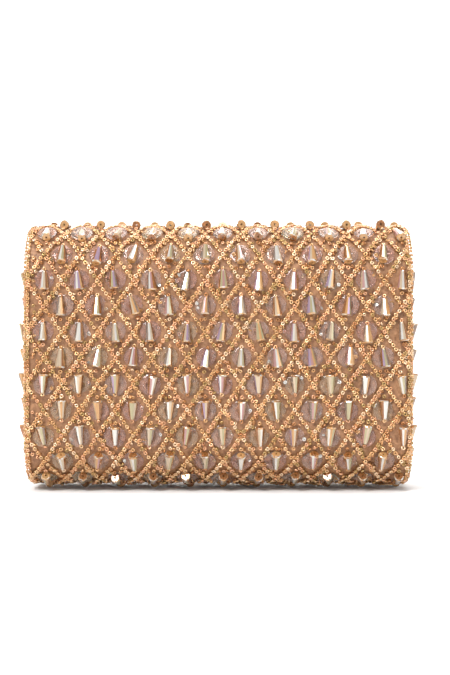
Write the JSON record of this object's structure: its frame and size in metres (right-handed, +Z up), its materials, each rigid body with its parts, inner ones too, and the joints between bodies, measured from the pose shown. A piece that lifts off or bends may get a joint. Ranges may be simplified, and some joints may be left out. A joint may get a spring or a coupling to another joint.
{
  "type": "beaded evening clutch bag",
  "caption": "Beaded evening clutch: lined pouch with side gussets and padded base, closed by a full-front flap that folds at the back and shuts on a magnetic snap.",
  "frame": {"origin": "middle of the footprint, on the surface the bag stands on", "axes": "+X along the bag towards the right gusset seen from the front, -Y towards the flap's front, +Z up"},
  "size_m": [0.2192, 0.0666, 0.1524],
  "materials": {
    "beadwork": "silver-lined gold glass seed beads and clear champagne crystals with a rainbow coating",
    "bead_edging": "gold glass seed beads in two close rows",
    "cover_satin": "tan-mauve satin with a soft sheen",
    "lining_satin": "champagne satin",
    "board": "kraft stiffening card",
    "padding": "soft wadding",
    "snap_metal": "polished pale gold plating",
    "magnet": "dark nickel",
    "washer_steel": "plain zinc"
  },
  "bodies": {
    "body": {"back_beadwork": "beadwork", "back_cover": "cover_satin", "back_board": "board", "back_lining": "lining_satin", "fold_strip": "lining_satin", "base_beadwork": "beadwork", "base_cover": "cover_satin", "base_board": "board", "base_padding": "padding", "base_lining": "lining_satin", "front_cover": "lining_satin", "front_board": "board", "front_lining": "lining_satin", "mouth_binding": "cover_satin", "snap_socket": "snap_metal", "snap_magnet": "magnet", "socket_washer": "washer_steel", "slip_pocket": "lining_satin", "left_gusset_beadwork": "beadwork", "left_gusset_cover": "cover_satin", "left_gusset_board": "board", "left_gusset_lining": "lining_satin", "right_gusset_beadwork": "beadwork", "right_gusset_cover": "cover_satin", "right_gusset_board": "board", "right_gusset_lining": "lining_satin", "back_left_edging": "bead_edging", "back_right_edging": "bead_edging"},
    "flap": {"flap_beadwork": "beadwork", "flap_cover": "cover_satin", "flap_board": "board", "flap_lining": "lining_satin", "flap_left_edging": "bead_edging", "flap_right_edging": "bead_edging", "snap_stud": "snap_metal", "stud_washer": "washer_steel"}
  },
  "joints": [
    {"name": "flap_hinge", "type": "hinge", "parent": "body", "child": "flap", "pos_m": [0, 0.03345, 0.1195], "axis": [-1, 0, 0], "range_deg": [0, 165]}
  ]
}
